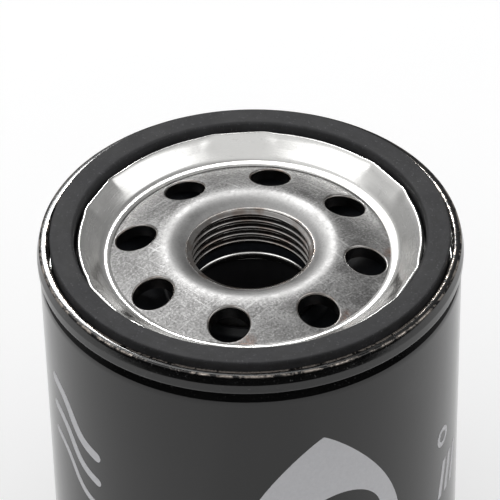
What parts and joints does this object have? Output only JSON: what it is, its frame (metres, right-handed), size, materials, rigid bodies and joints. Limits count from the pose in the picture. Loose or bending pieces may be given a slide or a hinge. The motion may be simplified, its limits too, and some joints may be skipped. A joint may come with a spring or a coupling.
{
  "type": "oil filter",
  "caption": "Spin-on canister oil filter with a threaded hub, inlet holes round it, a rubber face seal, a pleated element and a spring-loaded bypass valve.",
  "frame": {"origin": "centre of the closed end, on the surface that the filter stands on", "axes": "+Z along the thread axis, towards the gasket and the threaded hub; +X and +Y across, with a clinch flat of the lid centred on +Y"},
  "size_m": [0.0742, 0.0742, 0.0885],
  "materials": {
    "black_paint": "semi-gloss black enamel",
    "tin_plate": "bright tin-plated sheet steel",
    "mill_steel": "mottled grey pressed steel",
    "spring_steel": "drawn spring wire",
    "gasket_rubber": "matte moulded nitrile",
    "valve_rubber": "smooth oiled nitrile",
    "filter_paper": "resin-treated pleated paper",
    "plastisol": "cured potting compound",
    "compound": "dried seaming compound",
    "black_nylon": "black moulded nylon",
    "silver_ink": "light grey printing ink"
  },
  "bodies": {
    "housing": {"can": "black_paint", "seaming_lid": "tin_plate", "seam_compound": "compound", "base_plate": "mill_steel", "sealing_gasket": "gasket_rubber", "anti_drainback_valve": "valve_rubber", "dome_spring": "spring_steel"},
    "element": {"upper_end_cap": "tin_plate", "upper_adhesive": "plastisol", "filter_media": "filter_paper", "media_seam_clip": "tin_plate", "centre_tube": "black_nylon", "lower_adhesive": "plastisol", "lower_end_cap": "tin_plate", "bypass_seat": "mill_steel", "bypass_cage": "tin_plate", "bypass_spring": "spring_steel"},
    "bypass_valve": {"bypass_seal": "valve_rubber", "bypass_disc": "tin_plate", "bypass_stem": "mill_steel"}
  },
  "joints": [
    {"name": "element_travel", "type": "slide", "parent": "housing", "child": "element", "axis": [0, 0, -1], "range_m": [0, 0.0015], "stiffness_N_per_m": 5000, "springref_m": -0.005, "deforming": ["dome_spring"]},
    {"name": "bypass_lift", "type": "slide", "parent": "element", "child": "bypass_valve", "axis": [0, 0, 1], "range_m": [0, 0.003], "stiffness_N_per_m": 2500, "springref_m": -0.005, "deforming": ["bypass_spring"]}
  ]
}
